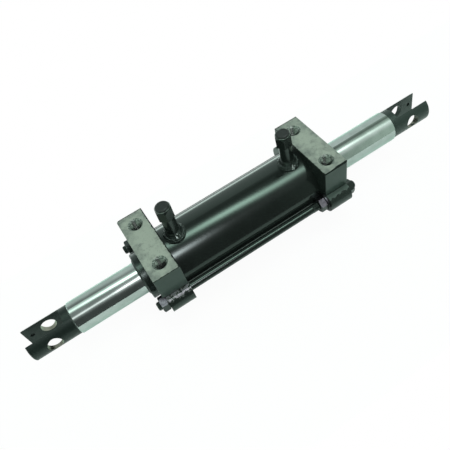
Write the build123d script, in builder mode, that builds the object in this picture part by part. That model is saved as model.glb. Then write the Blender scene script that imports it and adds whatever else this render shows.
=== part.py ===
from build123d import *
import os
from math import cos, radians, sin

# A double-ended hydraulic cylinder for a steering axle, in millimetres.
# The tube is clamped between two foot heads by two tie rods, and one rod runs right through.
# X runs along the rod, Z is up, and the origin is the middle of the four foot holes,
# in the plane of the machined feet. The rod's axis lies foot_height below it.
os.makedirs("parts", exist_ok=True)

# Clearances
seat_gap = 0.02
running_gap = 0.05
bolt_gap = 0.3
side_gap = 0.1

# Rod with a fork turned, slotted and drilled at each end
rod_diameter = 40.0
stroke = 120.0
rod_shift = 3.3
chrome_reserve = 32.0
rod_turn = -4.5
fork_diameter = 37.6
fork_length = 56.9
fork_edge = 0.8
slot_width = 23.0
slot_setback = 9.4
slot_corner = 3.0
pin_distance = 29.0
pin_bore = 18.0
lock_distance = 49.4
lock_bore = 5.0

# Tube
bore_diameter = 70.0
tube_wall = 6.0
tube_lead = 1.5

# Heads: foot, body, lugs, nose and spigot
head_thickness = 32.5
foot_margin = 9.0
foot_rise = 8.0
foot_corner = 0.6
cast_corner = 3.5
body_margin = 6.5
lug_radius = 14.0
lug_blend = 8.0
ledge_height = 12.0
nut_seat_depth = 2.8
nut_seat_margin = 0.5
nose_wall = 9.6
nose_length = 8.0
nose_edge = 0.8
body_edge = 1.5
spigot_length = 8.0
head_ring_width = 3.6
head_ring_depth = 2.6

# Threaded foot holes
bolt_inset = 17.0
bolt_margin = 18.0
bolt_bore = 14.0
bolt_mouth = 18.0
bolt_depth = 28.0
drill_point = 4.0

# Rod bush, rod seal and wiper in each head
relief_wall = 5.0
relief_depth = 4.0
bush_wall = 2.5
bush_length = 20.0
seal_land = 2.5
rod_seal_wall = 5.0
rod_seal_width = 8.0
rod_seal_notch = 3.0
head_rod_gap = 0.4
wiper_wall = 5.5
wiper_width = 7.0
wiper_lip = 1.6
wiper_lip_wall = 2.0

# Tie rods and nuts
tie_rod_diameter = 10.0
tie_rod_offset = 6.5
tie_rod_overhang = 10.2
tie_rod_edge = 1.0
nut_flats = 17.0
nut_height = 8.8
nut_edge_drop = 0.9
washer_radius = 10.6
washer_thickness = 2.0

# Piston with its seal, guide rings, static ring and retaining rings
piston_length = 54.4
stop_gap = 0.3
piston_clearance = 0.3
piston_land = 26.0
piston_collar_step = 6.0
piston_edge = 1.0
seal_groove_width = 6.2
seal_groove_depth = 5.0
guide_groove_width = 5.6
guide_groove_depth = 2.5
guide_spacing = 8.4
guide_cut = 1.5
static_ring_width = 2.8
static_ring_depth = 1.8
retaining_groove_depth = 1.2
retaining_ring_width = 2.5
retaining_ring_wall = 3.6
retaining_ring_cut = 9.0

# Port stubs, their welds and plugs: each stub stands a little differently
right_port_inset = 16.2
right_port_side = -0.1
right_port_lean = 3.3
right_port_turn = 0.0
left_port_inset = 16.3
left_port_side = -2.1
left_port_lean = 0.0
left_port_turn = 20.0
port_sink = 6.0
port_hole = 8.0
port_bore = 11.0
port_bore_depth = 19.0
stem_diameter = 15.6
stub_hex_flats = 17.6
stub_hex_length = 15.5
stub_height = 49.0
stub_face_radius = 8.4
stub_edge_drop = 3.2
weld_radius = 13.3
weld_rim_height = 1.5
weld_height = 9.0
weld_hollow = 0.35
plug_head_radius = 7.5
plug_head_height = 1.6
plug_shank = 9.0
plug_edge = 0.4
pry_notch_width = 1.6
pry_notch_depth = 1.8

# Sizes and positions worked out from those above
rod_radius = rod_diameter / 2
fork_radius = fork_diameter / 2
bore_radius = bore_diameter / 2
tube_radius = bore_radius + tube_wall
tube_length = stroke + piston_length + 2 * spigot_length + 2 * stop_gap
foot_width = 2 * (tube_radius + foot_margin)
foot_height = tube_radius + foot_rise
axis_z = -foot_height
body_radius = tube_radius + body_margin
nose_radius = rod_radius + nose_wall
relief_radius = rod_radius + relief_wall
tie_rod_y = tube_radius + tie_rod_offset
bolt_y = foot_width / 2 - bolt_margin
head_inner_x = tube_length / 2
head_outer_x = head_inner_x + head_thickness
nose_outer_x = head_outer_x + nose_length
spigot_x = head_inner_x - spigot_length
chrome_end_x = rod_shift + nose_outer_x + stroke / 2 + chrome_reserve
fork_end_x = chrome_end_x + fork_length
nut_seat_x = head_outer_x - nut_seat_depth
tie_rod_length = 2 * (head_outer_x + tie_rod_overhang)
bolt_x = head_outer_x - bolt_inset
bush_end_x = spigot_x + relief_depth + bush_length
rod_seal_x = bush_end_x + seal_land
wiper_x = nose_outer_x - wiper_width

cylinder_axis = Axis((0, 0, axis_z), (1, 0, 0))
lengthwise = Plane(origin=(0, 0, axis_z), x_dir=(1, 0, 0), z_dir=(0, -1, 0))
fork_side = Plane(
    origin=(0, 0, axis_z),
    x_dir=(1, 0, 0),
    z_dir=(0, cos(radians(rod_turn)), sin(radians(rod_turn))),
)
fork_top = Plane(
    origin=(0, 0, axis_z),
    x_dir=(1, 0, 0),
    z_dir=(0, -sin(radians(rod_turn)), cos(radians(rod_turn))),
)


def standing(x, side, lean):
    """The plane of a stub's foot on top of the tube; its normal leans towards +X."""
    return Plane(
        origin=(x, side, axis_z + tube_radius),
        x_dir=(cos(radians(lean)), 0, -sin(radians(lean))),
        z_dir=(sin(radians(lean)), 0, cos(radians(lean))),
    )


port_places = {
    "right": (
        standing(head_inner_x - right_port_inset, right_port_side, -right_port_lean),
        right_port_turn,
    ),
    "left": (
        standing(left_port_inset - head_inner_x, left_port_side, left_port_lean),
        left_port_turn,
    ),
}


def across(x):
    """The plane across the cylinder at x, with its origin on the rod's axis."""
    return Plane(origin=(x, 0, axis_z), x_dir=(0, 1, 0), z_dir=(1, 0, 0))


def turned(points):
    """A ring turned about the rod's axis from its half section, as (x, radius) points."""
    with BuildPart() as ring:
        with BuildSketch(lengthwise):
            with BuildLine():
                Polyline(*points, close=True)
            make_face()
        revolve(axis=cylinder_axis)
    return ring


def plain_ring(start_x, width, inner_radius, outer_radius):
    """A ring of rectangular section."""
    end_x = start_x + width
    return turned(
        [
            (start_x, inner_radius),
            (end_x, inner_radius),
            (end_x, outer_radius),
            (start_x, outer_radius),
        ]
    )


def write(piece, name):
    piece.part.label = name
    export_step(piece.part, f"parts/{name}.step")


def write_pair(piece, name):
    """The piece at the right end, and its mirror image at the left end."""
    write(piece, f"{name}_right")
    with BuildPart() as opposite:
        mirror(piece.part, about=Plane.YZ)
    write(opposite, f"{name}_left")


# Rod: one half is turned, slotted and drilled, then mirrored about its middle
groove_x = rod_shift + piston_length / 2
groove_radius = rod_radius - retaining_groove_depth
slot_length = fork_length - slot_setback
with BuildPart() as rod:
    with BuildSketch(lengthwise):
        with BuildLine():
            Polyline(
                (rod_shift, 0),
                (rod_shift, rod_radius),
                (groove_x, rod_radius),
                (groove_x, groove_radius),
                (groove_x + retaining_ring_width, groove_radius),
                (groove_x + retaining_ring_width, rod_radius),
                (chrome_end_x - (rod_radius - fork_radius), rod_radius),
                (chrome_end_x, fork_radius),
                (fork_end_x - fork_edge, fork_radius),
                (fork_end_x, fork_radius - fork_edge),
                (fork_end_x, 0),
                close=True,
            )
        make_face()
    revolve(axis=cylinder_axis)
    with BuildSketch(fork_top) as slot:
        with Locations((fork_end_x, 0)):
            Rectangle(2 * slot_length, slot_width)
        fillet(slot.vertices().group_by(Axis.X)[0], slot_corner)
    extrude(amount=fork_diameter, both=True, mode=Mode.SUBTRACT)
    with BuildSketch(fork_side):
        with Locations((chrome_end_x + pin_distance, 0)):
            Circle(pin_bore / 2)
    extrude(amount=fork_diameter, both=True, mode=Mode.SUBTRACT)
    with BuildSketch(fork_side):
        with Locations((chrome_end_x + lock_distance, 0)):
            Circle(lock_bore / 2)
    extrude(amount=fork_diameter, mode=Mode.SUBTRACT)
    mirror(about=Plane.YZ.offset(rod_shift))
write(rod, "rod")

# Piston: a land with three grooves between two stop collars
seal_groove = seal_groove_width / 2
guide_inner = guide_spacing - guide_groove_width / 2
guide_outer = guide_spacing + guide_groove_width / 2
land_radius = bore_radius - piston_clearance
seal_floor = land_radius - seal_groove_depth
guide_floor = land_radius - guide_groove_depth
collar_radius = bore_radius - piston_collar_step
piston_bore = rod_radius + seat_gap
static_floor = piston_bore + static_ring_depth
with BuildPart() as piston:
    with BuildSketch(lengthwise):
        with BuildLine():
            Polyline(
                (rod_shift, static_floor),
                (rod_shift, seal_floor),
                (rod_shift + seal_groove, seal_floor),
                (rod_shift + seal_groove, land_radius),
                (rod_shift + guide_inner, land_radius),
                (rod_shift + guide_inner, guide_floor),
                (rod_shift + guide_outer, guide_floor),
                (rod_shift + guide_outer, land_radius),
                (rod_shift + piston_land / 2 - piston_edge, land_radius),
                (rod_shift + piston_land / 2, land_radius - piston_edge),
                (rod_shift + piston_land / 2, collar_radius),
                (groove_x - piston_edge, collar_radius),
                (groove_x, collar_radius - piston_edge),
                (groove_x, piston_bore),
                (rod_shift + static_ring_width / 2, piston_bore),
                (rod_shift + static_ring_width / 2, static_floor),
                close=True,
            )
        make_face()
    revolve(axis=cylinder_axis)
    mirror(about=Plane.YZ.offset(rod_shift))
write(piston, "piston")

static_ring = plain_ring(
    rod_shift - static_ring_width / 2 + side_gap,
    static_ring_width - 2 * side_gap,
    rod_radius + seat_gap,
    static_floor - seat_gap,
)
write(static_ring, "piston_static_ring")

# Retaining rings: split rings in the rod's grooves, one against each end of the piston
for name, ring_x in (
    ("retaining_ring_right", groove_x),
    ("retaining_ring_left", 2 * rod_shift - groove_x - retaining_ring_width),
):
    with BuildPart() as retaining_ring:
        with BuildSketch(across(ring_x)):
            Circle(groove_radius + seat_gap + retaining_ring_wall)
            Circle(groove_radius + seat_gap, mode=Mode.SUBTRACT)
            with Locations((0, -rod_radius)):
                Rectangle(retaining_ring_cut, rod_radius, mode=Mode.SUBTRACT)
        extrude(amount=retaining_ring_width)
    write(retaining_ring, name)

# Piston seal, and a split guide ring on each side of it
piston_seal = plain_ring(
    rod_shift - seal_groove + side_gap,
    seal_groove_width - 2 * side_gap,
    seal_floor + running_gap,
    bore_radius - running_gap,
)
write(piston_seal, "piston_seal")
for name, centre_x in (
    ("guide_ring_right", rod_shift + guide_spacing),
    ("guide_ring_left", rod_shift - guide_spacing),
):
    with BuildPart() as guide_ring:
        with BuildSketch(across(centre_x - guide_groove_width / 2 + side_gap)):
            Circle(bore_radius - running_gap)
            Circle(guide_floor + running_gap, mode=Mode.SUBTRACT)
            with Locations((0, -bore_radius)):
                Rectangle(guide_cut, bore_radius, mode=Mode.SUBTRACT)
        extrude(amount=guide_groove_width - 2 * side_gap)
    write(guide_ring, name)

# Tube with a lead at each end of the bore and a hole under each port
with BuildPart() as cylinder_tube:
    with BuildSketch(lengthwise):
        with BuildLine():
            Polyline(
                (0, bore_radius),
                (0, tube_radius),
                (head_inner_x, tube_radius),
                (head_inner_x, bore_radius + tube_lead / 2),
                (head_inner_x - tube_lead, bore_radius),
                close=True,
            )
        make_face()
    revolve(axis=cylinder_axis)
    mirror(about=Plane.YZ)
    for port_foot, _ in port_places.values():
        with BuildSketch(port_foot):
            Circle(port_hole / 2)
        extrude(amount=tube_radius - bore_radius + port_sink, both=True, mode=Mode.SUBTRACT)
write(cylinder_tube, "cylinder_tube")

# Head: a foot block, a round body and two lugs in one outline, then the nose and spigot
spigot_radius = bore_radius - seat_gap
head_ring_floor = spigot_radius - head_ring_depth
head_ring_x = head_inner_x - (spigot_length + head_ring_width) / 2
with BuildPart() as head:
    with BuildSketch(across(head_inner_x)) as outline:
        Circle(body_radius)
        with Locations((0, foot_height / 2)):
            Rectangle(foot_width, foot_height)
        with Locations((tie_rod_y, 0), (-tie_rod_y, 0)):
            Circle(lug_radius)
        fillet(outline.vertices().group_by(Axis.Y)[0], lug_blend)
        with Locations((foot_width / 2, ledge_height), (-foot_width / 2 - lug_radius, ledge_height)):
            Rectangle(lug_radius, lug_radius, align=(Align.MIN, Align.MIN), mode=Mode.SUBTRACT)
    extrude(amount=head_thickness)
    foot_corners = head.edges().filter_by(Axis.Z).filter_by_position(
        Axis.Z, axis_z + ledge_height, 0, inclusive=(False, False)
    )
    # The outer near corner is rounder than the other three
    near_corner = foot_corners.group_by(Axis.X)[-1].sort_by(Axis.Y)[0]
    fillet([corner for corner in foot_corners if corner != near_corner], foot_corner)
    outer_corners = head.edges().filter_by(Axis.Z).filter_by_position(
        Axis.X, head_outer_x - foot_corner / 2, head_outer_x + foot_corner / 2
    )
    fillet(outer_corners.sort_by(Axis.Y)[0], cast_corner)
    with BuildSketch(across(head_outer_x)):
        Circle(nose_radius)
    extrude(amount=nose_length)
    chamfer(head.edges().group_by(Axis.X)[-1], nose_edge)
    with BuildSketch(lengthwise):
        with BuildLine():
            Polyline(
                (spigot_x, 0),
                (spigot_x, spigot_radius - body_edge),
                (spigot_x + body_edge, spigot_radius),
                (head_ring_x, spigot_radius),
                (head_ring_x, head_ring_floor),
                (head_ring_x + head_ring_width, head_ring_floor),
                (head_ring_x + head_ring_width, spigot_radius),
                (head_inner_x, spigot_radius),
                (head_inner_x, 0),
                close=True,
            )
        make_face()
    revolve(axis=cylinder_axis)
    # Stepped bore for the bush, the seal and the wiper
    with BuildSketch(lengthwise):
        with BuildLine():
            Polyline(
                (spigot_x, 0),
                (spigot_x, relief_radius),
                (spigot_x + relief_depth, relief_radius),
                (spigot_x + relief_depth, rod_radius + bush_wall + seat_gap),
                (bush_end_x, rod_radius + bush_wall + seat_gap),
                (bush_end_x, rod_radius + head_rod_gap),
                (rod_seal_x, rod_radius + head_rod_gap),
                (rod_seal_x, rod_radius + rod_seal_wall),
                (rod_seal_x + rod_seal_width, rod_radius + rod_seal_wall),
                (rod_seal_x + rod_seal_width, rod_radius + head_rod_gap),
                (wiper_x, rod_radius + head_rod_gap),
                (wiper_x, rod_radius + wiper_wall),
                (nose_outer_x, rod_radius + wiper_wall),
                (nose_outer_x, 0),
                close=True,
            )
        make_face()
    revolve(axis=cylinder_axis, mode=Mode.SUBTRACT)
    # Faced seats for the nuts, and the holes for the tie rods
    with BuildSketch(across(nut_seat_x)):
        with Locations((tie_rod_y, 0), (-tie_rod_y, 0)):
            Circle(lug_radius + nut_seat_margin)
    extrude(amount=nut_seat_depth, mode=Mode.SUBTRACT)
    with BuildSketch(across(head_inner_x)):
        with Locations((tie_rod_y, 0), (-tie_rod_y, 0)):
            Circle(tie_rod_diameter / 2 + bolt_gap)
    extrude(amount=head_thickness, mode=Mode.SUBTRACT)
    # Blind foot holes with a chamfered mouth and a drill point
    with Locations((bolt_x, bolt_y, 0), (bolt_x, -bolt_y, 0)):
        CounterSinkHole(bolt_bore / 2, bolt_mouth / 2, bolt_depth, 90)
    with Locations((bolt_x, bolt_y, -bolt_depth), (bolt_x, -bolt_y, -bolt_depth)):
        Cone(
            bolt_bore / 2,
            0,
            drill_point,
            rotation=(180, 0, 0),
            align=(Align.CENTER, Align.CENTER, Align.MIN),
            mode=Mode.SUBTRACT,
        )
write(head, "head_right")

# The left head is the same casting turned round
with BuildPart() as turned_head:
    add(head.part.rotate(Axis.Z, 180))
write(turned_head, "head_left")

# Static ring on the spigot, bush, rod seal and wiper
head_ring = plain_ring(
    head_ring_x + side_gap,
    head_ring_width - 2 * side_gap,
    head_ring_floor + seat_gap,
    bore_radius - seat_gap,
)
write_pair(head_ring, "head_static_ring")

rod_bush = plain_ring(
    bush_end_x - bush_length,
    bush_length,
    rod_radius + running_gap,
    rod_radius + bush_wall,
)
write_pair(rod_bush, "rod_bush")

seal_inner = rod_radius + running_gap
seal_outer = rod_radius + rod_seal_wall - seat_gap
seal_middle = (seal_inner + seal_outer) / 2
rod_seal = turned(
    [
        (rod_seal_x + side_gap, seal_inner),
        (rod_seal_x + side_gap, seal_middle - rod_seal_notch / 2),
        (rod_seal_x + side_gap + rod_seal_notch, seal_middle),
        (rod_seal_x + side_gap, seal_middle + rod_seal_notch / 2),
        (rod_seal_x + side_gap, seal_outer),
        (rod_seal_x + rod_seal_width - side_gap, seal_outer),
        (rod_seal_x + rod_seal_width - side_gap, seal_inner),
    ]
)
write_pair(rod_seal, "rod_seal")

wiper_outer = rod_radius + wiper_wall - seat_gap
wiper = turned(
    [
        (wiper_x + seat_gap, seal_inner),
        (wiper_x + seat_gap, wiper_outer),
        (nose_outer_x, wiper_outer),
        (nose_outer_x, seal_inner + 2 * wiper_lip_wall),
        (nose_outer_x + wiper_lip, seal_inner + wiper_lip_wall / 2),
        (nose_outer_x + wiper_lip, seal_inner),
    ]
)
write_pair(wiper, "rod_wiper")

# Tie rods
for name, rod_y in (("tie_rod_near", -tie_rod_y), ("tie_rod_far", tie_rod_y)):
    with BuildPart() as tie_rod:
        with BuildSketch(across(-tie_rod_length / 2)):
            with Locations((rod_y, 0)):
                Circle(tie_rod_diameter / 2)
        extrude(amount=tie_rod_length)
        chamfer(tie_rod.edges(), tie_rod_edge)
    write(tie_rod, name)


def hex_prism_edge(height, flats, drop):
    """Half section that rounds both ends of a hexagon prism, as (x, radius) points."""
    corner = flats / 2 / cos(radians(30))
    return [
        (0, 0),
        (0, flats / 2 - drop / 2),
        (drop, corner),
        (height - drop, corner),
        (height, flats / 2 - drop / 2),
        (height, 0),
    ]


# Nuts: one outside each lug, and one inside the near lug of the right head
inner_nut_x = head_inner_x - washer_thickness - nut_height
nut_places = {
    "nut_left_near": (-nut_seat_x - nut_height, -tie_rod_y, 39.3),
    "nut_left_far": (-nut_seat_x - nut_height, tie_rod_y, 10.0),
    "nut_right_near": (nut_seat_x, -tie_rod_y, 20.0),
    "nut_right_far": (nut_seat_x, tie_rod_y, 0.0),
    "inner_nut": (inner_nut_x, -tie_rod_y, 24.3),
}
for name, (nut_x, nut_y, nut_turn) in nut_places.items():
    with BuildPart() as nut:
        with BuildSketch(across(nut_x)):
            with Locations((nut_y, 0)):
                RegularPolygon(nut_flats / 2, 6, major_radius=False, rotation=-nut_turn)
                Circle(tie_rod_diameter / 2 + seat_gap, mode=Mode.SUBTRACT)
        extrude(amount=nut_height)
        with BuildSketch(
            Plane(origin=(nut_x, nut_y, axis_z), x_dir=(1, 0, 0), z_dir=(0, -1, 0))
        ):
            with BuildLine():
                Polyline(*hex_prism_edge(nut_height, nut_flats, nut_edge_drop), close=True)
            make_face()
        revolve(axis=Axis((nut_x, nut_y, axis_z), (1, 0, 0)), mode=Mode.INTERSECT)
        # Each nut is trimmed where it would foul the tube, which only the inner nut does
        with BuildSketch(across(-head_inner_x)):
            Circle(tube_radius + bolt_gap)
        extrude(amount=tube_length, mode=Mode.SUBTRACT)
    write(nut, name)

# Washer under the inner nut, trimmed round the tube in the same way
with BuildPart() as washer:
    with BuildSketch(across(head_inner_x - washer_thickness)):
        with Locations((-tie_rod_y, 0)):
            Circle(washer_radius)
            Circle(tie_rod_diameter / 2 + side_gap, mode=Mode.SUBTRACT)
        Circle(tube_radius + bolt_gap, mode=Mode.SUBTRACT)
    extrude(amount=washer_thickness)
write(washer, "inner_washer")

# Port stubs: a weld collar that sits on the tube, a round stem and a hexagon with a drilled bore
hex_start = stub_height - stub_hex_length
hex_corner = stub_hex_flats / 2 / cos(radians(30))
collar_width = weld_radius - stem_diameter / 2
collar_height = weld_height - weld_rim_height
for name, (port_foot, port_turn) in port_places.items():
    port_axis = Axis(port_foot.origin, port_foot.z_dir)
    port_section = Plane(origin=port_foot.origin, x_dir=port_foot.x_dir, z_dir=(0, -1, 0))
    with BuildPart() as port_stub:
        with BuildSketch(port_foot.offset(hex_start)):
            RegularPolygon(stub_hex_flats / 2, 6, major_radius=False, rotation=port_turn)
        extrude(amount=stub_hex_length)
        with BuildSketch(port_section):
            with BuildLine():
                Polyline(
                    (0, hex_start),
                    (0, stub_height),
                    (stub_face_radius, stub_height),
                    (hex_corner, stub_height - stub_edge_drop),
                    (hex_corner, hex_start),
                    close=True,
                )
            make_face()
        revolve(axis=port_axis, mode=Mode.INTERSECT)
        with BuildSketch(port_section):
            with BuildLine():
                Polyline(
                    (stem_diameter / 2, weld_height),
                    (stem_diameter / 2, hex_start),
                    (0, hex_start),
                    (0, -port_sink),
                    (weld_radius, -port_sink),
                    (weld_radius, weld_rim_height),
                )
                ThreePointArc(
                    (weld_radius, weld_rim_height),
                    (
                        stem_diameter / 2 + weld_hollow * collar_width,
                        weld_rim_height + weld_hollow * collar_height,
                    ),
                    (stem_diameter / 2, weld_height),
                )
            make_face()
        revolve(axis=port_axis)
        with BuildSketch(port_foot.offset(-port_sink)):
            Circle(port_hole / 2)
        extrude(amount=port_sink + stub_height, mode=Mode.SUBTRACT)
        with BuildSketch(port_foot.offset(stub_height)):
            Circle(port_bore / 2)
        extrude(amount=-port_bore_depth, mode=Mode.SUBTRACT)
        with BuildSketch(across(-head_inner_x)):
            Circle(tube_radius + seat_gap)
        extrude(amount=tube_length, mode=Mode.SUBTRACT)
    write(port_stub, f"port_stub_{name}")

    # Port plug: a shank in the stub's bore under a flat head with a pry notch
    with BuildPart() as port_plug:
        with BuildSketch(port_foot.offset(stub_height)):
            Circle(plug_head_radius)
        extrude(amount=plug_head_height)
        chamfer(port_plug.edges().sort_by(port_axis)[-1], plug_edge)
        with BuildSketch(port_foot.offset(stub_height)):
            with Locations((0, plug_head_radius)):
                Rectangle(pry_notch_width, 2 * pry_notch_depth)
        extrude(amount=plug_head_height, mode=Mode.SUBTRACT)
        with BuildSketch(port_foot.offset(stub_height)):
            Circle(port_bore / 2 - seat_gap)
        extrude(amount=-plug_shank)
    write(port_plug, f"port_plug_{name}")
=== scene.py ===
import math

import bmesh
import bpy
from mathutils import Matrix, Vector


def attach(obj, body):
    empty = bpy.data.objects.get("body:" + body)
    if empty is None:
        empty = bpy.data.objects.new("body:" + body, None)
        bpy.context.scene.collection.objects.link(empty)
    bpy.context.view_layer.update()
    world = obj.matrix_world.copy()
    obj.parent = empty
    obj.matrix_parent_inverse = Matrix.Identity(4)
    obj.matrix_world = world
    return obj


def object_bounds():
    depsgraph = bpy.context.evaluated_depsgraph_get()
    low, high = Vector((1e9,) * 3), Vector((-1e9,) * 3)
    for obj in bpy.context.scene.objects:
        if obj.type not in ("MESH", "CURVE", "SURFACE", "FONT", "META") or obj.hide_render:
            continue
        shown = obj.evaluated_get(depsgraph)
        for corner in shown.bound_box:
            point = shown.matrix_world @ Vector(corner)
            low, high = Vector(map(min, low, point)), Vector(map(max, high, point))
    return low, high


# Steering cylinder with a fork at each end of its rod: finishes, small detail, light and camera
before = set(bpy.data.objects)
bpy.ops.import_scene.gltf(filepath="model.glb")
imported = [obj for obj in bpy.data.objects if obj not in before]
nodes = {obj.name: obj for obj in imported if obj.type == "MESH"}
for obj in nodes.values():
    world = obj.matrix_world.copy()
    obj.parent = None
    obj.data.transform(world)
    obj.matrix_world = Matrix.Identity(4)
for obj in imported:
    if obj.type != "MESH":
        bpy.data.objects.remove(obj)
cad_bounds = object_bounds()
mm = 0.001

# Places on the cylinder that the finishes follow, in millimetres, as the part has them
axis_height = -49.0
rod_middle = 3.3
chrome_half_length = 227.9
pin_from_middle = 257.0
pin_axis_side = 0.9969
pin_axis_up = -0.0785
pin_hole_radius = 9.0
foot_side = 50.0
head_inner = 95.5
ledge_top = -37.0
tie_rod_side = 47.5
hole_along = 111.0
hole_side = 32.0
hole_mouth = 9.0
hole_floor = -29.0
thread_start = -26.2
left_stub_x = -79.2
left_stub_y = -2.1
right_stub_x = 79.3
right_stub_y = -0.1
right_stub_lean = -3.3
stub_flats = 24.5
tube_top = -8.0
tube_radius = 41.0
nut_face = 134.0
left_stud_back = 3.0
inner_thread_start = 75.7


# Node helpers
def add_node(tree, kind, inputs=None, **settings):
    """One shader node; inputs are numbers, colours or the outputs of other nodes."""
    node = tree.nodes.new(kind)
    for name, value in settings.items():
        setattr(node, name, value)
    for name, value in (inputs or {}).items():
        if isinstance(value, bpy.types.NodeSocket):
            tree.links.new(value, node.inputs[name])
        else:
            node.inputs[name].default_value = value
    return node


def calc(tree, operation, *values):
    """A Math node's result."""
    inputs = dict(enumerate(values))
    return add_node(tree, "ShaderNodeMath", inputs, operation=operation).outputs[0]


def chain(tree, operation, values):
    """One operation carried along several values."""
    result = values[0]
    for value in values[1:]:
        result = calc(tree, operation, result, value)
    return result


def plus(tree, *values):
    """The sum of several values."""
    return chain(tree, "ADD", values)


def minus(tree, first, second):
    """The first value less the second."""
    return calc(tree, "SUBTRACT", first, second)


def times(tree, *values):
    """The product of several values, or where all of several masks are."""
    return chain(tree, "MULTIPLY", values)


def either(tree, *masks):
    """The largest of several masks."""
    return chain(tree, "MAXIMUM", masks)


def outside(tree, mask):
    """Where a mask isn't."""
    return minus(tree, 1.0, mask)


def rise(tree, value, low, high):
    """0 below low, 1 above high and a smooth rise between them."""
    inputs = {"Value": value, "From Min": low, "From Max": high}
    kind = "ShaderNodeMapRange"
    return add_node(tree, kind, inputs, interpolation_type="SMOOTHSTEP").outputs[0]


def bell(tree, value, centre, width):
    """1 at the centre, falling away smoothly over the width."""
    offset = calc(tree, "DIVIDE", minus(tree, value, centre), width)
    return calc(tree, "EXPONENT", times(tree, offset, offset, -0.5))


def inside(tree, value, low, high, soft):
    """1 between low and high, with soft edges."""
    below = rise(tree, value, low - soft, low + soft)
    above = rise(tree, value, high - soft, high + soft)
    return minus(tree, below, above)


def blend(tree, share, first, second):
    """A colour between two, by share."""
    inputs = {0: share, 6: first, 7: second}
    return add_node(tree, "ShaderNodeMix", inputs, data_type="RGBA").outputs[2]


def mix_value(tree, share, first, second):
    """A number between two, by share."""
    inputs = {"Value": share, "To Min": first, "To Max": second}
    return add_node(tree, "ShaderNodeMapRange", inputs).outputs[0]


def distance(tree, first, second):
    """The length of a plane vector from its two parts."""
    squares = [times(tree, part, part) for part in (first, second)]
    return calc(tree, "SQRT", plus(tree, *squares))


class Finish:
    """A material on one Principled shader, with the place on the piece in millimetres."""

    def __init__(self, name, **sockets):
        self.material = bpy.data.materials.new(name)
        self.material.use_nodes = True
        self.tree = self.material.node_tree
        self.tree.nodes.clear()
        self.shader = add_node(self.tree, "ShaderNodeBsdfPrincipled")
        output = add_node(self.tree, "ShaderNodeOutputMaterial")
        self.tree.links.new(self.shader.outputs[0], output.inputs["Surface"])
        coordinates = add_node(self.tree, "ShaderNodeTexCoord").outputs["Object"]
        inputs = {0: coordinates, "Scale": 1 / mm}
        scaled = add_node(self.tree, "ShaderNodeVectorMath", inputs, operation="SCALE")
        self.place = scaled.outputs[0]
        split = add_node(self.tree, "ShaderNodeSeparateXYZ", {0: self.place})
        self.x, self.y, self.z = split.outputs
        self.along = calc(self.tree, "ABSOLUTE", self.x)
        self.side = calc(self.tree, "ABSOLUTE", self.y)
        normal = add_node(self.tree, "ShaderNodeNewGeometry").outputs["True Normal"]
        split = add_node(self.tree, "ShaderNodeSeparateXYZ", {0: normal})
        self.facing_y = split.outputs[1]
        self.facing_z = split.outputs[2]
        self.set(**sockets)

    def set(self, **sockets):
        """Values or outputs for the shader's sockets, such as base_color."""
        for name, value in sockets.items():
            words = " ".join(word.capitalize() for word in name.split("_"))
            socket = self.shader.inputs[words.replace("Ior", "IOR")]
            if isinstance(value, bpy.types.NodeSocket):
                self.tree.links.new(value, socket)
            else:
                socket.default_value = value

    def colour_so_far(self):
        """The output that gives the base colour."""
        return self.shader.inputs["Base Color"].links[0].from_socket

    def noise(self, size, detail=3.0, roughness=0.55, stretch=(1, 1, 1), seed=0.0):
        """Noise from 0 to 1 with features of about that size in millimetres."""
        mapping = add_node(
            self.tree,
            "ShaderNodeMapping",
            {"Vector": self.place, "Location": (seed, seed, seed), "Scale": stretch},
        )
        inputs = {"Vector": mapping.outputs[0], "Scale": 1 / size, "Detail": detail}
        inputs["Roughness"] = roughness
        return add_node(self.tree, "ShaderNodeTexNoise", inputs).outputs[0]

    def bump(self, height, depth, under=None):
        """Bump of that depth in millimetres, on top of another bump."""
        inputs = {"Height": height, "Distance": depth * mm, "Strength": 1.0}
        if under is not None:
            inputs["Normal"] = under
        return add_node(self.tree, "ShaderNodeBump", inputs).outputs[0]


def cover(finish, *names):
    """Gives CAD nodes a finish."""
    for name in names:
        slots = nodes[name].data.materials
        slots.clear()
        slots.append(finish.material)


# Finishes
green_gleam = (0.82, 1.0, 0.92, 1)


def gloss_black_paint(name, roughness=0.12, wave=0.02, lumps_below=None):
    """Sprayed black enamel with a slight orange peel; below a height it lies on weld spatter, with
    painted glints on its near side.
    """
    finish = Finish(name, ior=1.5, specular_tint=green_gleam)
    tree = finish.tree
    patches = finish.noise(14, detail=4)
    paint = blend(tree, patches, (0.0062, 0.008, 0.0073, 1), (0.0125, 0.0155, 0.0142, 1))
    finish.set(
        base_color=paint,
        roughness=mix_value(tree, patches, roughness * 0.8, roughness * 1.3),
    )
    peel = finish.bump(finish.noise(2.2, detail=2), wave)
    if lumps_below is not None:
        low = rise(tree, finish.z, lumps_below, lumps_below - 2.0)
        lumps = times(tree, low, finish.noise(2.6, detail=3, seed=2.0))
        peel = finish.bump(lumps, 1.1, peel)
        flats = rise(tree, finish.z, stub_flats, stub_flats + 1.5)
        # The pale specks on the weld's near side are painted glints.
        finish.set(
            base_color=blend(tree, painted_weld_glints(finish, low), paint, (0.66, 0.70, 0.68, 1)),
            roughness=mix_value(tree, low, roughness, 0.07),
            specular_ior_level=mix_value(tree, flats, 0.5, 0.36),
        )
    finish.set(normal=peel)
    return finish


def painted_weld_glints(finish, low):
    """Where bright glints are painted on the near side of a stub's weld: painted highlight."""
    tree = finish.tree
    ragged = rise(tree, finish.noise(1.5, detail=2, seed=5.0), 0.55, 0.6)
    near_side = inside(tree, finish.y, -13.6, -10.0, 0.8)
    by_stub = inside(tree, finish.along, right_stub_x - 3.0, right_stub_x + 1.3, 0.6)
    return times(tree, ragged, low, near_side, by_stub)


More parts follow.
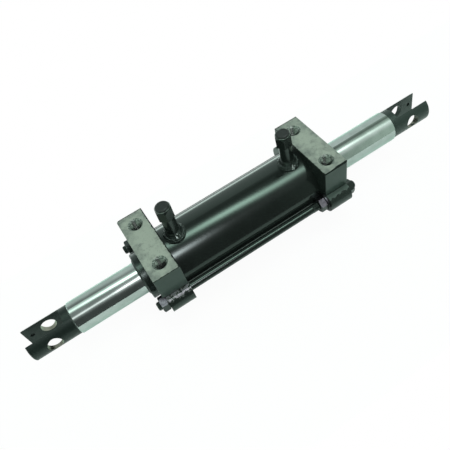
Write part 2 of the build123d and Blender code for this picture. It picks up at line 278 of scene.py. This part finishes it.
def tube_enamel():
    """The tube's enamel, with a dull strip along the upper far side."""
    finish = gloss_black_paint("tube_black_enamel")
    tree = finish.tree
    far_side = rise(tree, finish.y, 22.8, 24.3)
    upper_half = rise(tree, finish.z, axis_height - 2.0, axis_height + 1.0)
    finish.set(specular_ior_level=mix_value(tree, times(tree, far_side, upper_half), 0.5, 0.06))
    return finish


def milled_foot(finish, up):
    """Where the top of a foot is bare, and where paint has crept in over its edges."""
    tree = finish.tree
    ragged = minus(tree, finish.noise(3.0, detail=5, roughness=0.7), 0.5)
    # The paint reaches furthest at the outer end of the right foot's near edge
    near_right = times(tree, rise(tree, finish.x, 0.0, 90.0), rise(tree, finish.y, -30.0, -45.0))
    outwards = mix_value(tree, rise(tree, finish.x, 100.0, 118.0), 0.4, 1.0)
    edge_paint = mix_value(tree, times(tree, near_right, outwards), 0.9, 3.3)
    from_side = minus(tree, foot_side, plus(tree, finish.side, edge_paint))
    from_side = plus(tree, from_side, times(tree, ragged, 2.4))
    from_inner = minus(tree, finish.along, head_inner + 1.3)
    from_inner = plus(tree, from_inner, times(tree, ragged, 4.0))
    top = times(tree, rise(tree, finish.z, -0.1, -0.02), up)
    bare = times(
        tree,
        top,
        rise(tree, from_side, -0.15, 0.15),
        rise(tree, from_inner, -0.2, 0.2),
    )
    crept = times(tree, top, outside(tree, bare))
    return bare, crept


def hole_walls(finish):
    """The chamfers and walls of the foot holes."""
    tree = finish.tree
    across = minus(tree, finish.side, hole_side)
    from_hole = distance(tree, minus(tree, finish.along, hole_along), across)
    return times(
        tree,
        rise(tree, from_hole, hole_mouth + 0.2, hole_mouth + 0.05),
        rise(tree, finish.z, -0.02, -0.06),
        rise(tree, finish.z, hole_floor - 1.0, hole_floor),
    )


def ledge_marks(finish, left, up):
    """The left near ledge rubbed bare, the right ledges' tops paler and duller, and painted shade in the
    crease above them.
    """
    tree = finish.tree
    uneven = minus(tree, finish.noise(5.0, detail=4, seed=6.0), 0.5)
    sagging = plus(tree, finish.z, times(tree, uneven, 11.0))
    ledge = times(
        tree,
        rise(tree, finish.z, ledge_top + 0.5, ledge_top + 0.3),
        rise(tree, sagging, ledge_top - 2.2, ledge_top - 1.6),
    )
    past_flank = rise(tree, finish.side, foot_side - 0.4, foot_side + 0.2)
    patchy = rise(tree, finish.noise(3.0, detail=5, seed=7.0), 0.43, 0.53)
    near = rise(tree, finish.y, 5.0, -5.0)
    rubbed = times(tree, ledge, past_flank, patchy, left, near)
    pale_ledge_tops = times(tree, ledge, up, past_flank, outside(tree, left))
    over_ledge = inside(tree, finish.z, ledge_top - 0.1, ledge_top + 0.8, 0.1)
    crease = times(tree, over_ledge, outside(tree, up))
    return rubbed, pale_ledge_tops, crease


def milled_iron(finish, left, stain):
    """Milled iron's colour: cloudy, darker towards the edges, with specks and a pale streak, and painted
    light that makes the left foot lighter than the right.
    """
    tree = finish.tree
    clouds = finish.noise(22.0, detail=6, roughness=0.6)
    shade = plus(tree, times(tree, clouds, 0.75), times(tree, stain, 0.42))
    from_centre = distance(
        tree,
        calc(tree, "DIVIDE", minus(tree, finish.along, hole_along), 19.0),
        calc(tree, "DIVIDE", finish.y, 62.0),
    )
    shade = minus(tree, shade, times(tree, from_centre, from_centre, 0.12))
    # The left foot is painted a little lighter than the right, and its pale streak stronger: painted
    # light, as the two feet are alike.
    shade = plus(tree, shade, mix_value(tree, left, -0.04, 0.015))
    slanting = plus(tree, finish.along, times(tree, finish.y, 0.08))
    middle = times(tree, bell(tree, slanting, hole_along - 1.0, 5.0), bell(tree, finish.y, 0.0, 17.0))
    streak = times(tree, middle, rise(tree, stain, 0.3, 0.6), mix_value(tree, left, 0.06, 0.16))
    shade = rise(tree, plus(tree, shade, streak), 0.29, 0.65)
    iron = blend(tree, shade, (0.195, 0.212, 0.198, 1), (0.425, 0.455, 0.395, 1))
    specks = times(tree, rise(tree, finish.noise(1.6, detail=3, seed=3.0), 0.60, 0.70), 0.5)
    return blend(tree, specks, iron, (0.12, 0.15, 0.13, 1))


def painted_casting():
    """Head casting: black enamel, the foot milled bare, its holes tapped, one ledge rubbed bare."""
    finish = Finish("head_casting", ior=1.5, specular_tint=green_gleam)
    tree = finish.tree
    left = rise(tree, finish.x, 10.0, -10.0)
    up = rise(tree, finish.facing_z, 0.6, 0.8)
    stain = finish.noise(5.0, detail=5, roughness=0.7, seed=4.0)
    milled, crept = milled_foot(finish, up)
    holes = hole_walls(finish)
    rubbed, pale_ledge_tops, crease = ledge_marks(finish, left, up)
    bare = either(tree, milled, rubbed, holes)

    burrs = rise(tree, finish.noise(1.8, detail=3, seed=8.0), 0.42, 0.62)
    drilled = blend(tree, burrs, (0.13, 0.15, 0.135, 1), (0.42, 0.47, 0.43, 1))
    # Rubbed bare iron, painted darker where it doesn't look up and lighter where it does: real wear with
    # painted shade and light.
    scuffed_and_shaded_by_facing = blend(tree, up, (0.115, 0.112, 0.125, 1), (0.29, 0.28, 0.305, 1))
    iron = blend(tree, holes, milled_iron(finish, left, stain), drilled)
    iron = blend(tree, rubbed, iron, scuffed_and_shaded_by_facing)

    sideways = rise(tree, calc(tree, "ABSOLUTE", finish.facing_y), 0.7, 0.9)
    flank = times(
        tree,
        sideways,
        rise(tree, finish.z, ledge_top - 1.0, ledge_top),
        rise(tree, finish.side, foot_side - 1.0, foot_side - 0.5),
    )
    # Just above the ledge the flank is painted near black and its gloss lowered: painted shade in the
    # crease.
    shaded_flank = times(tree, flank, crease)
    paint = blend(tree, stain, (0.0065, 0.0085, 0.0077, 1), (0.0155, 0.02, 0.018, 1))
    paint = blend(tree, flank, paint, (0.036, 0.052, 0.045, 1))
    paint = blend(tree, shaded_flank, paint, (0.003, 0.004, 0.0037, 1))
    # The right ledges' up-facing tops are made paler and duller.
    paint = blend(tree, pale_ledge_tops, paint, (0.06, 0.078, 0.069, 1))

    skin = finish.noise(2.0, detail=3)
    cutter_marks = finish.noise(0.5, detail=2, stretch=(0.25, 1, 1))
    paint_roughness = mix_value(tree, pale_ledge_tops, mix_value(tree, skin, 0.18, 0.3), 0.6)
    gloss = mix_value(tree, shaded_flank, mix_value(tree, flank, 0.5, 0.27), 0.03)
    finish.set(
        base_color=blend(tree, bare, paint, iron),
        metallic=times(tree, bare, 0.85),
        specular_ior_level=mix_value(tree, crept, gloss, 0.1),
        roughness=mix_value(tree, bare, paint_roughness, mix_value(tree, stain, 0.30, 0.55)),
        normal=finish.bump(cutter_marks, 0.012, finish.bump(skin, 0.03)),
    )
    return finish


def pin_hole_walls(finish, fork, from_middle, left):
    """Walls of the pin holes: bare in the left fork, smudged in the right fork's near side."""
    tree = finish.tree
    height = minus(tree, finish.z, axis_height)
    above_pin = plus(
        tree,
        times(tree, finish.y, -pin_axis_up),
        times(tree, height, pin_axis_side),
    )
    from_pin = distance(tree, minus(tree, from_middle, pin_from_middle), above_pin)
    walls = rise(tree, from_pin, pin_hole_radius + 0.12, pin_hole_radius + 0.04)
    smudge = times(tree, rise(tree, finish.noise(4.0, detail=4, seed=9.0), 0.38, 0.52), 0.85)
    smudge = times(tree, smudge, rise(tree, finish.y, 5.0, -5.0))
    return times(tree, fork, walls, mix_value(tree, left, smudge, 1.0))


def chromed_rod():
    """Ground and polished hard chrome, with phosphated forks whose pin holes are worn; the left fork is
    painted darker than the right as painted shade.
    """
    finish = Finish("chromed_rod", ior=1.5, specular_tint=green_gleam)
    tree = finish.tree
    from_middle = calc(tree, "ABSOLUTE", minus(tree, finish.x, rod_middle))
    fork = rise(tree, from_middle, chrome_half_length - 0.1, chrome_half_length + 0.1)
    left = rise(tree, finish.x, 10.0, -10.0)
    walls = pin_hole_walls(finish, fork, from_middle, left)
    shaded_left_fork = times(tree, fork, left)
    scratches = finish.noise(1.2, detail=4, stretch=(0.05, 1, 1))
    clouds = finish.noise(18.0, detail=3)
    mottle = finish.noise(5.0, detail=5, roughness=0.7)

    cloudy = rise(tree, clouds, 0.3, 0.7)
    chrome = blend(tree, cloudy, (0.40, 0.435, 0.42, 1), (0.49, 0.52, 0.51, 1))
    phosphate = blend(tree, mottle, (0.010, 0.016, 0.014, 1), (0.022, 0.031, 0.028, 1))
    # The left fork's phosphate is painted darker, and below it made less glossy: painted shade.
    phosphate = blend(tree, shaded_left_fork, phosphate, (0.008, 0.012, 0.011, 1))
    bare = blend(tree, mottle, (0.16, 0.15, 0.11, 1), (0.5, 0.48, 0.42, 1))
    chrome_roughness = mix_value(tree, clouds, 0.08, 0.13)
    fork_roughness = mix_value(tree, mottle, 0.28, 0.42)
    finish.set(
        base_color=blend(tree, walls, blend(tree, fork, chrome, phosphate), bare),
        metallic=either(tree, outside(tree, fork), walls),
        roughness=mix_value(tree, fork, chrome_roughness, fork_roughness),
        specular_ior_level=mix_value(tree, shaded_left_fork, 0.5, 0.36),
        normal=finish.bump(scratches, 0.004),
    )
    return finish


def plain_metal(name, light, dark, metallic, low_gloss, high_gloss, size=3.0, depth=0.01):
    """A metal whose colour and gloss change a little from place to place."""
    finish = Finish(name, metallic=metallic)
    tree = finish.tree
    patches = finish.noise(size, detail=5, roughness=0.65)
    finish.set(
        base_color=blend(tree, rise(tree, patches, 0.3, 0.7), dark, light),
        roughness=mix_value(tree, patches, low_gloss, high_gloss),
        normal=finish.bump(finish.noise(size / 5, detail=2), depth),
    )
    return finish


def dull_moulding(name, light, dark, low_gloss, high_gloss):
    """Rubber or moulded plastic with a fine grain."""
    return plain_metal(name, light, dark, 0.0, low_gloss, high_gloss, size=2.0)


def zinc_plate():
    """Zinc plate, with painted shade on every face that doesn't look up."""
    light = (0.19, 0.18, 0.205, 1)
    dark = (0.105, 0.10, 0.115, 1)
    finish = plain_metal("bright_zinc", light, dark, 1.0, 0.26, 0.38)
    # Faces that don't look up are painted darker: painted shade.
    painted_underside_shade = rise(finish.tree, finish.facing_z, 0.75, 0.35)
    plate = finish.colour_so_far()
    finish.set(base_color=blend(finish.tree, painted_underside_shade, plate, (0.072, 0.078, 0.076, 1)))
    return finish


def thread_iron():
    """Iron of the tapped foot holes: bright crests, with painted shade in the roots."""
    light = (0.42, 0.46, 0.42, 1)
    dark = (0.12, 0.14, 0.125, 1)
    finish = plain_metal("tapped_iron", light, dark, 0.8, 0.14, 0.26, size=2.0)
    tree = finish.tree
    across = minus(tree, finish.side, hole_side)
    from_axis = distance(tree, minus(tree, finish.along, hole_along), across)
    shaded_roots = rise(tree, from_axis, 6.35, 6.85)
    crests = finish.colour_so_far()
    # The thread roots are painted dark: painted shade.
    finish.set(base_color=blend(tree, shaded_roots, crests, (0.045, 0.055, 0.05, 1)))
    return finish


fastener_paint = gloss_black_paint("fastener_black_enamel", roughness=0.14, wave=0.03)
stub_paint = gloss_black_paint("port_stub_black_enamel", roughness=0.2, wave=0.03, lumps_below=1.0)
weld_paint = gloss_black_paint("weld_black_enamel", roughness=0.07, wave=0.05, lumps_below=20.0)
far_rod_paint = gloss_black_paint("overspray_black", roughness=0.6, wave=0.03)
far_rod_paint.set(specular_ior_level=0.15)
zinc = zinc_plate()
iron = plain_metal("turned_iron", (0.30, 0.31, 0.31, 1), (0.20, 0.21, 0.21, 1), 1.0, 0.3, 0.45)
tapped_iron = thread_iron()
worn_edge = plain_metal(
    "worn_enamel_edge", (0.24, 0.27, 0.25, 1), (0.07, 0.085, 0.075, 1), 0.7, 0.2, 0.35
)
bronze = plain_metal("bush_bronze", (0.52, 0.36, 0.16, 1), (0.42, 0.28, 0.12, 1), 1.0, 0.3, 0.42)
rubber = dull_moulding(
    "seal_rubber", (0.022, 0.024, 0.024, 1), (0.012, 0.013, 0.013, 1), 0.5, 0.65
)
plug_plastic = dull_moulding(
    "plug_plastic", (0.012, 0.016, 0.015, 1), (0.006, 0.009, 0.008, 1), 0.3, 0.45
)

cover(tube_enamel(), "cylinder_tube")
cover(painted_casting(), "head_left", "head_right")
cover(chromed_rod(), "rod")
cover(stub_paint, "port_stub_left", "port_stub_right")
cover(fastener_paint, "tie_rod_near", "nut_left_far", "nut_right_near", "nut_right_far")
cover(far_rod_paint, "tie_rod_far")
cover(zinc, "nut_left_near", "inner_nut", "inner_washer")
cover(zinc, "retaining_ring_left", "retaining_ring_right")
cover(iron, "piston")
cover(bronze, "rod_bush_left", "rod_bush_right")
cover(rubber, "head_static_ring_left", "head_static_ring_right", "piston_static_ring")
cover(rubber, "rod_seal_left", "rod_seal_right", "rod_wiper_left", "rod_wiper_right")
cover(plug_plastic, "port_plug_left", "port_plug_right")
cover(plug_plastic, "piston_seal", "guide_ring_left", "guide_ring_right")


# Small detail
def start_piece(name):
    """Names the new primitive, ready in edit mode."""
    piece = bpy.context.object
    piece.name = piece.data.name = name
    bpy.ops.object.mode_set(mode="EDIT")
    return piece


def pick(piece, wanted):
    """Selects, in edit mode, the points whose numbers are wanted, and nothing else."""
    points = bmesh.from_edit_mesh(piece.data)
    for point in points.verts:
        point.select = point.index in wanted
    points.select_flush_mode()
    bmesh.update_edit_mesh(piece.data)


def settle(piece, place):
    """Puts a piece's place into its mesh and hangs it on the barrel."""
    bpy.ops.object.select_all(action="DESELECT")
    piece.select_set(True)
    bpy.context.view_layer.objects.active = piece
    piece.matrix_world = place
    bpy.ops.object.transform_apply(location=True, rotation=True, scale=True)
    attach(piece, "barrel")


def finish_piece(piece, finish, place, angle=40):
    """Mends the normals and shading, gives the piece its finish and settles it."""
    bpy.ops.mesh.select_all(action="SELECT")
    bpy.ops.mesh.remove_doubles(threshold=1e-6)
    bpy.ops.mesh.normals_make_consistent(inside=False)
    bpy.ops.object.mode_set(mode="OBJECT")
    bpy.ops.object.shade_smooth_by_angle(angle=math.radians(angle))
    piece.data.materials.append(finish.material)
    settle(piece, place)


def copy_piece(piece, name):
    """A copy with its own mesh."""
    twin = piece.copy()
    twin.data = piece.data.copy()
    twin.name = twin.data.name = name
    bpy.context.scene.collection.objects.link(twin)
    return twin


def at(x, y, z):
    """A place in millimetres."""
    return Matrix.Translation(Vector((x, y, z)) * mm)


def weld_bead(name):
    """A weld run round a stub's collar: overlapping ripples that dip with the tube on two sides."""
    ring = 10.7
    width = 1.9
    height = 3.0
    sections = 96
    ripple = (0.78, 0.92, 1.08, 1.2, 1.12, 0.96)
    bpy.ops.object.select_all(action="DESELECT")
    bpy.ops.mesh.primitive_torus_add(
        major_radius=ring * mm,
        minor_radius=width * mm,
        major_segments=sections,
        minor_segments=12,
    )
    bead = start_piece(name)
    rounds = {}
    for point in bmesh.from_edit_mesh(bead.data).verts:
        turn = math.atan2(point.co.y, point.co.x)
        section = round(turn / (2 * math.pi) * sections) % sections
        rounds.setdefault(section, set()).add(point.index)
    for section, points in rounds.items():
        turn = 2 * math.pi * section / sections
        out = Vector((math.cos(turn), math.sin(turn), 0))
        wander = 0.10 * math.sin(3 * turn + 1) + 0.07 * math.sin(7 * turn)
        size = ripple[section % len(ripple)] + wander
        side = ring * out.y
        dip = tube_radius - math.sqrt(tube_radius ** 2 - side ** 2)
        pick(bead, points)
        bpy.ops.transform.resize(value=(size, size, size), center_override=out * ring * mm)
        shift = out * 1.5 * wander + Vector((0, 0, height - dip))
        bpy.ops.transform.translate(value=shift * mm)
    return bead


def edge_ring(name, ring, width, height, flat):
    """A thin round edge at a height on a stub's axis."""
    bpy.ops.object.select_all(action="DESELECT")
    bpy.ops.mesh.primitive_torus_add(
        major_radius=ring * mm, minor_radius=width * mm, major_segments=64, minor_segments=8
    )
    edge = start_piece(name)
    bpy.ops.transform.resize(value=(1, 1, flat))
    bpy.ops.transform.translate(value=(0, 0, height * mm))
    return edge


def threaded_ring(name, back, root, crest, pitch, ridges):
    """A ring with thread ridges from the root radius to the crest radius, along +Z."""
    bpy.ops.object.select_all(action="DESELECT")
    bpy.ops.mesh.primitive_circle_add(vertices=48, radius=back * mm)
    ring = start_piece(name)
    radius = back
    height = 0.0
    ridge = [(pitch / 2, crest), (pitch / 2, root)]
    for step, reached in [(0.0, root)] + ridge * ridges + [(0.0, back)]:
        bpy.ops.mesh.extrude_region_move(TRANSFORM_OT_translate={"value": (0, 0, step * mm)})
        height += step
        scale = reached / radius
        bpy.ops.transform.resize(value=(scale, scale, 1), center_override=(0, 0, height * mm))
        radius = reached
    bpy.ops.mesh.select_non_manifold()
    bpy.ops.mesh.bridge_edge_loops()
    return ring


# Weld runs round the feet of both stubs
bead = weld_bead("weld_bead_left")
left_foot = at(left_stub_x, left_stub_y, tube_top)
finish_piece(bead, weld_paint, left_foot, angle=60)
half_turn = Matrix.Rotation(math.pi, 4, "Z")
to_right = at(right_stub_x, right_stub_y, 0) @ half_turn @ at(-left_stub_x, -left_stub_y, 0)
settle(copy_piece(bead, "weld_bead_right"), to_right)

# Worn rims round both stubs' mouths, and a raised rim on each plug
lean = Matrix.Rotation(math.radians(right_stub_lean), 4, "Y")
right_foot = at(right_stub_x, right_stub_y, tube_top) @ lean
for kind, slot, finish, ring, width, height, flat in (
    ("stub_rim", "gloss_black_paint", worn_edge, 8.05, 0.42, 48.95, 0.7),
    ("plug_rim", "black_plastic", plug_plastic, 6.1, 0.5, 50.5, 1.0),
):
    edge = edge_ring(kind + "_left", ring, width, height, flat)
    finish_piece(edge, finish, left_foot)
    settle(copy_piece(edge, kind + "_right"), right_foot @ left_foot.inverted())

# Threads on the bare ends of the tie rods, and beyond the inner nut
lengthwise = Matrix.Rotation(math.pi / 2, 4, "Y")
stud = threaded_ring("stud_thread_right_near", back=4.6, root=5.02, crest=5.3, pitch=1.5, ridges=2)
stud_place = at(nut_face, -tie_rod_side, axis_height) @ lengthwise
finish_piece(stud, fastener_paint, stud_place)
to_left = -2 * nut_face - left_stud_back
to_far = 2 * tie_rod_side
for name, x, y in (
    ("stud_thread_right_far", 0, to_far),
    ("stud_thread_left_near", to_left, 0),
    ("stud_thread_left_far", to_left, to_far),
):
    settle(copy_piece(stud, name), at(x, y, 0))
stud = threaded_ring("stud_thread_inner", back=4.6, root=5.02, crest=5.3, pitch=1.5, ridges=6)
stud_place = at(inner_thread_start, -tie_rod_side, axis_height) @ lengthwise
finish_piece(stud, fastener_paint, stud_place)

# Threads in the four foot holes
tapped = threaded_ring("foot_thread_left_near", back=7.4, root=6.97, crest=6.0, pitch=2.0, ridges=12)
finish_piece(tapped, tapped_iron, at(-hole_along, -hole_side, thread_start))
for name, x, y in (
    ("foot_thread_left_far", 0, 2 * hole_side),
    ("foot_thread_right_near", 2 * hole_along, 0),
    ("foot_thread_right_far", 2 * hole_along, 2 * hole_side),
):
    settle(copy_piece(tapped, name), at(x, y, 0))


# Floor
def pale_floor():
    """White to the camera, pale card to the light, and a little glow in reflections."""
    material = bpy.data.materials.new("pale_floor")
    material.use_nodes = True
    tree = material.node_tree
    tree.nodes.clear()
    rays = add_node(tree, "ShaderNodeLightPath").outputs
    card = add_node(tree, "ShaderNodeBsdfDiffuse", {"Color": (0.92, 0.97, 0.95, 1)})
    sheen = blend(tree, rays["Is Camera Ray"], (0.94, 1.0, 0.98, 1), (1, 1, 1, 1))
    glow = add_node(tree, "ShaderNodeEmission", {"Color": sheen, "Strength": 1.0})
    mirrored = either(tree, rays["Is Glossy Ray"], rays["Is Transmission Ray"])
    seen = times(tree, rays["Is Camera Ray"], 0.95)
    share = either(tree, times(tree, mirrored, 0.2), seen)
    inputs = {0: share, 1: card.outputs[0], 2: glow.outputs[0]}
    mixed = add_node(tree, "ShaderNodeMixShader", inputs)
    add_node(tree, "ShaderNodeOutputMaterial", {"Surface": mixed.outputs[0]})
    return material


bpy.ops.object.select_all(action="DESELECT")
floor_length = 2.4
floor_depth = 0.4
floor_centre = (0, -0.05, cad_bounds[0].z)
bpy.ops.mesh.primitive_plane_add(size=1, location=floor_centre)
floor = bpy.context.object
bpy.ops.object.mode_set(mode="EDIT")
bpy.ops.transform.resize(value=(floor_length, floor_depth, 1), center_override=floor_centre)
bpy.ops.object.mode_set(mode="OBJECT")
floor.name = "floor"
floor.data.materials.append(pale_floor())


# Light
room_tint = (0.86, 1.0, 0.95, 1)


def long_lamp(tree, x, z, lean):
    """A soft lamp along the cylinder, brighter over its right half."""
    dipped = plus(tree, lean, times(tree, bell(tree, x, 0.30, 0.055), 0.062))
    dipped = minus(tree, dipped, times(tree, rise(tree, x, -0.02, -0.15), 0.022))
    reach = plus(
        tree,
        bell(tree, x, 0.13, 0.19),
        times(tree, bell(tree, x, 0.22, 0.08), 0.75),
        times(tree, bell(tree, x, 0.352, 0.026), 0.42),
    )
    return times(tree, bell(tree, dipped, 0.0, 0.08), reach, rise(tree, z, 0.0, 0.2), 7.0)


def small_lamp(tree, x, turn):
    """A small lamp in front with a soft skirt, and fainter strips on both sides of it."""
    lamp_turn = 57.4
    tilt = times(tree, either(tree, minus(tree, x, 0.05), 0.0), 45.0)
    tilted = plus(tree, turn, tilt)
    spot = times(tree, bell(tree, tilted, lamp_turn, 5.0), bell(tree, x, 0.045, 0.04))
    strip = times(tree, bell(tree, tilted, lamp_turn, 4.0), inside(tree, x, -0.35, 0.1, 0.05))
    skirt = times(tree, bell(tree, tilted, 56.0, 13.0), bell(tree, x, 0.04, 0.08))
    right_strip = times(tree, bell(tree, turn, 55.0, 10.0), rise(tree, x, 0.36, 0.46))
    return plus(
        tree,
        times(tree, spot, 15.0),
        times(tree, strip, 1.5),
        times(tree, skirt, 0.7),
        times(tree, right_strip, 0.3),
    )


def studio_lights(tree, direction):
    """Colours and strengths, by direction, that add up to the studio."""
    x, y, z = add_node(tree, "ShaderNodeSeparateXYZ", {0: direction}).outputs
    turn = calc(tree, "DEGREES", calc(tree, "ARCTAN2", z, times(tree, y, -1.0)))
    behind = calc(tree, "DEGREES", calc(tree, "ARCTAN2", z, y))
    lamp_back = {0: direction, 1: (0.602, 0.791, -0.107)}
    lean = add_node(tree, "ShaderNodeVectorMath", lamp_back, operation="DOT_PRODUCT").outputs["Value"]

    # Dark low in front, lighter overhead, pale at the sides and behind, a dark band behind the long lamp
    aside = rise(tree, calc(tree, "ABSOLUTE", x), 0.25, 0.55)
    pale = either(tree, rise(tree, turn, 112, 130), rise(tree, turn, -16, -22))
    band = mix_value(tree, bell(tree, lean, 0.42, 0.09), 1.0, 0.36)
    ceiling = times(tree, band, outside(tree, pale))
    overhead = mix_value(tree, rise(tree, turn, 30, 55), 0.10, 0.36)
    forward = times(tree, rise(tree, turn, 80, 55), rise(tree, x, 0.0, 0.06))
    dip = times(tree, bell(tree, behind, -16.5, 4.0), inside(tree, x, 0.03, 0.40, 0.04))
    dip = mix_value(tree, dip, 1.0, 0.5)

    # A low lamp on the horizon, seen along the far side of the tube, and a bright card below it
    back_lamp = times(tree, bell(tree, behind, -7.0, 4.0), inside(tree, x, 0.0, 0.40, 0.04))
    back_card = times(tree, rise(tree, behind, -12.0, -28.0), rise(tree, behind, -90.0, -60.0))

    long_tint = rise(tree, x, 0.3, 0.42)
    long_tint = blend(tree, long_tint, (0.80, 1.0, 0.90, 1), (0.88, 1.0, 0.94, 1))
    small_tint = rise(tree, x, -0.02, 0.05)
    small_tint = blend(tree, small_tint, (0.95, 1.0, 0.99, 1), (1.0, 0.95, 1.03, 1))
    front = times(tree, ceiling, overhead)
    amid = outside(tree, aside)
    return [
        ((1, 0.98, 1, 1), times(tree, front, forward, amid)),
        (room_tint, times(tree, front, outside(tree, forward), amid)),
        ((0.77, 1.0, 0.86, 1), times(tree, ceiling, aside, 0.74)),
        (room_tint, times(tree, band, pale, dip, 0.84)),
        ((0.95, 1.0, 0.98, 1), times(tree, back_card, 0.8)),
        (long_tint, long_lamp(tree, x, z, lean)),
        (small_tint, small_lamp(tree, x, turn)),
        ((0.85, 1.0, 0.93, 1), times(tree, back_lamp, 3.4)),
    ]


def studio_world():
    """A pale studio seen by direction, plain white to the camera."""
    world = bpy.data.worlds.new("studio")
    bpy.context.scene.world = world
    world.use_nodes = True
    tree = world.node_tree
    tree.nodes.clear()
    direction = add_node(tree, "ShaderNodeTexCoord").outputs["Generated"]
    studio = None
    for colour, strength in studio_lights(tree, direction):
        inputs = {"Color": colour, "Strength": strength}
        light = add_node(tree, "ShaderNodeBackground", inputs).outputs[0]
        if studio is None:
            studio = light
        else:
            studio = add_node(tree, "ShaderNodeAddShader", {0: studio, 1: light}).outputs[0]
    white = add_node(tree, "ShaderNodeBackground", {"Color": (1, 1, 1, 1), "Strength": 1.0})
    to_camera = add_node(tree, "ShaderNodeLightPath").outputs["Is Camera Ray"]
    inputs = {0: to_camera, 1: studio, 2: white.outputs[0]}
    mixed = add_node(tree, "ShaderNodeMixShader", inputs)
    add_node(tree, "ShaderNodeOutputWorld", {"Surface": mixed.outputs[0]})


studio_world()

# Camera, fitted to the photograph
camera = bpy.data.objects.new("camera", bpy.data.cameras.new("camera"))
bpy.context.scene.collection.objects.link(camera)
camera.data.sensor_width = 36.0
camera.data.lens = 39.06
camera.data.clip_start = 0.01
right = Vector((0.837395, -0.514341, -0.184995))
up = Vector((0.517303, 0.636433, 0.572146))
back = Vector((-0.176541, -0.574811, 0.799016))
camera.matrix_world = Matrix((right, up, back)).transposed().to_4x4()
camera.location = Vector((-123.86, -341.63, 426.32)) * mm
bpy.context.scene.camera = camera
bpy.context.scene.view_settings.view_transform = "Standard"
